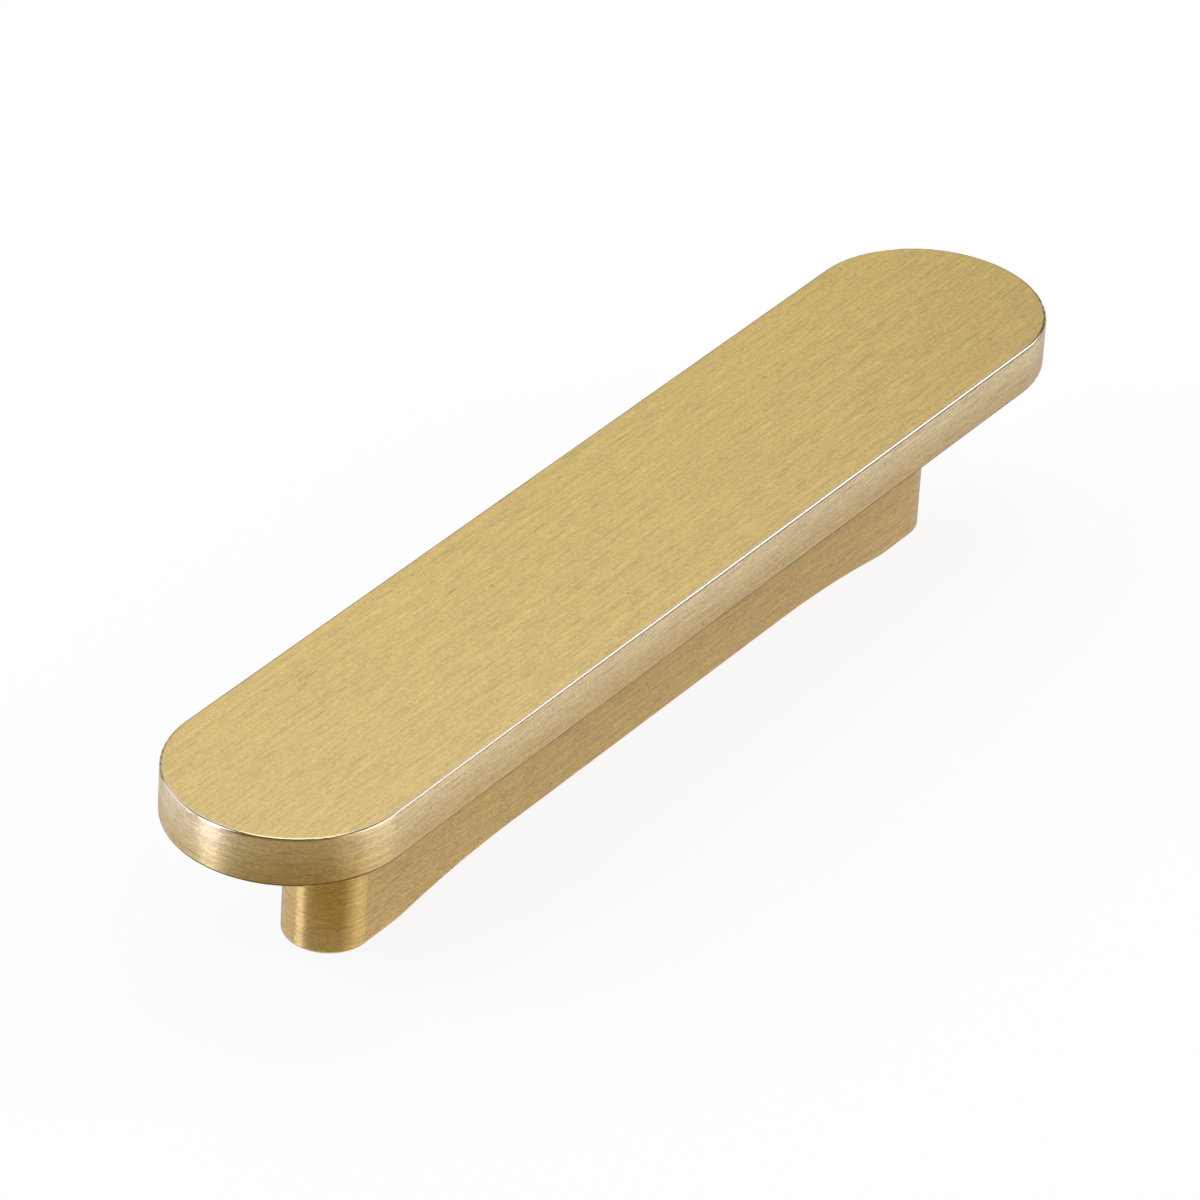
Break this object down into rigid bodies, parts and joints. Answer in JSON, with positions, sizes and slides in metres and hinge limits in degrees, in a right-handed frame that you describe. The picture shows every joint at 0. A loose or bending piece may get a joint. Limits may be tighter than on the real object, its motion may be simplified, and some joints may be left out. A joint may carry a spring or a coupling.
{
  "type": "tab pull",
  "caption": "Flat round-ended brass bar on a narrow rib with a foot at each end; fingers hook under its overhang, and screws from behind the door hold it.",
  "frame": {"origin": "on the door face that the feet stand on, midway between the screw holes", "axes": "+X along the bar, +Y across it, +Z out of the door towards the hand"},
  "size_m": [0.135, 0.025, 0.0225],
  "materials": {
    "brass": "satin"
  },
  "bodies": {
    "root": {"pull_body": "brass"}
  },
  "joints": []
}
